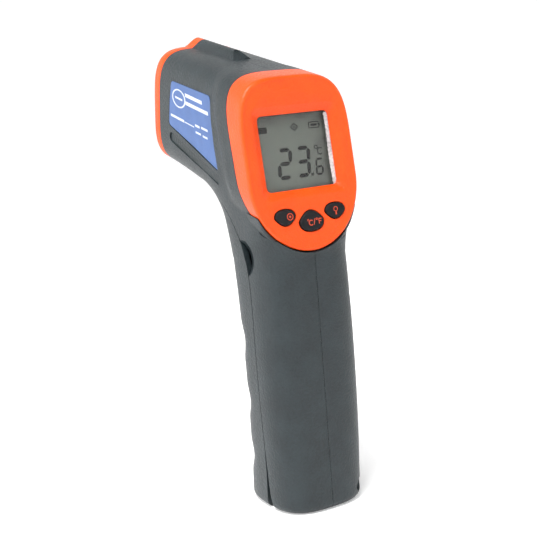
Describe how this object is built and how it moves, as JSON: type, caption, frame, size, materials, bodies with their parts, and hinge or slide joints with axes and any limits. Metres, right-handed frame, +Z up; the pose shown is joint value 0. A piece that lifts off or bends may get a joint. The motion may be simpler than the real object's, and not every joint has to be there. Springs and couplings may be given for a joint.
{
  "type": "handheld infrared thermometer",
  "caption": "Pistol-grip infrared thermometer: barrel with a framed display and keys at the rear, lens and aiming light in the nose, trigger, and a handle with a battery door.",
  "frame": {"origin": "on the flat base of the handle, in the middle of the base insert, where the thermometer stands on a surface", "axes": "+Z up along the handle, +Y the way the thermometer points, +X to the user's right"},
  "size_m": [0.043, 0.087, 0.1701],
  "materials": {
    "body_grey": "fine spark-eroded texture, matte",
    "bezel_orange": "fine texture, satin",
    "key_black": "matte",
    "window_clear": "polished clear plastic",
    "lcd_grey_green": "smooth",
    "light_guide": "smooth",
    "elastomer": "matte",
    "board_green": "solder resist",
    "component_black": "matte",
    "steel": "bright",
    "brass": "turned",
    "battery_case": "satin",
    "lead_red": "smooth",
    "lead_black": "smooth",
    "lead_grey": "smooth",
    "label_blue": "printed, satin",
    "lens_clear": "milky, satin",
    "laser_red": "polished"
  },
  "bodies": {
    "housing": {"base_insert": "body_grey", "battery_9v": "battery_case", "battery_lead_black": "lead_black", "battery_lead_red": "lead_red", "battery_snap": "component_black", "buzzer": "component_black", "display_bezel": "bezel_orange", "display_window": "window_clear", "door_hinge_pin": "steel", "front_plate": "component_black", "housing_left": "body_grey", "housing_right": "body_grey", "housing_screw_1": "steel", "housing_screw_2": "steel", "housing_screw_3": "steel", "housing_screw_4": "steel", "housing_screw_5": "steel", "housing_screw_6": "steel", "ir_lens": "lens_clear", "key_switch_centre": "steel", "key_switch_left": "steel", "key_switch_right": "steel", "label_left": "label_blue", "label_right": "label_blue", "laser_lead": "lead_red", "laser_module": "brass", "laser_window": "laser_red", "lcd_backlight": "light_guide", "lcd_panel": "lcd_grey_green", "lens_ring": "component_black", "lens_tube": "component_black", "main_board": "board_green", "microcontroller": "component_black", "nose_ring": "bezel_orange", "sensor_board": "board_green", "sensor_can": "steel", "sensor_lead": "lead_grey", "trigger_board": "board_green", "trigger_pin": "steel", "trigger_spring": "steel", "trigger_switch": "component_black", "zebra_connector": "elastomer"},
    "door": {"battery_door": "body_grey"},
    "trigger_lever": {"trigger": "body_grey"},
    "left_key": {"key_left": "key_black"},
    "centre_key": {"key_centre": "key_black"},
    "right_key": {"key_right": "key_black"}
  },
  "joints": [
    {"name": "door_hinge", "type": "hinge", "parent": "housing", "child": "door", "pos_m": [0, 0.0142, 0.0032], "axis": [-1, 0, 0], "range_deg": [0, 80]},
    {"name": "trigger_swing", "type": "hinge", "parent": "housing", "child": "trigger_lever", "pos_m": [0, 0.0205, 0.1165], "axis": [-1, 0, 0], "range_deg": [0, 6], "stiffness_Nm_per_rad": 0.6, "springref_deg": -2.86},
    {"name": "key_left_press", "type": "slide", "parent": "housing", "child": "left_key", "axis": [0, 0.9903, -0.1392], "range_m": [0, 0.0006], "stiffness_N_per_m": 1500, "springref_m": -0.0003},
    {"name": "key_centre_press", "type": "slide", "parent": "housing", "child": "centre_key", "axis": [0, 0.9903, -0.1392], "range_m": [0, 0.0006], "stiffness_N_per_m": 1500, "springref_m": -0.0003},
    {"name": "key_right_press", "type": "slide", "parent": "housing", "child": "right_key", "axis": [0, 0.9903, -0.1392], "range_m": [0, 0.0006], "stiffness_N_per_m": 1500, "springref_m": -0.0003}
  ]
}
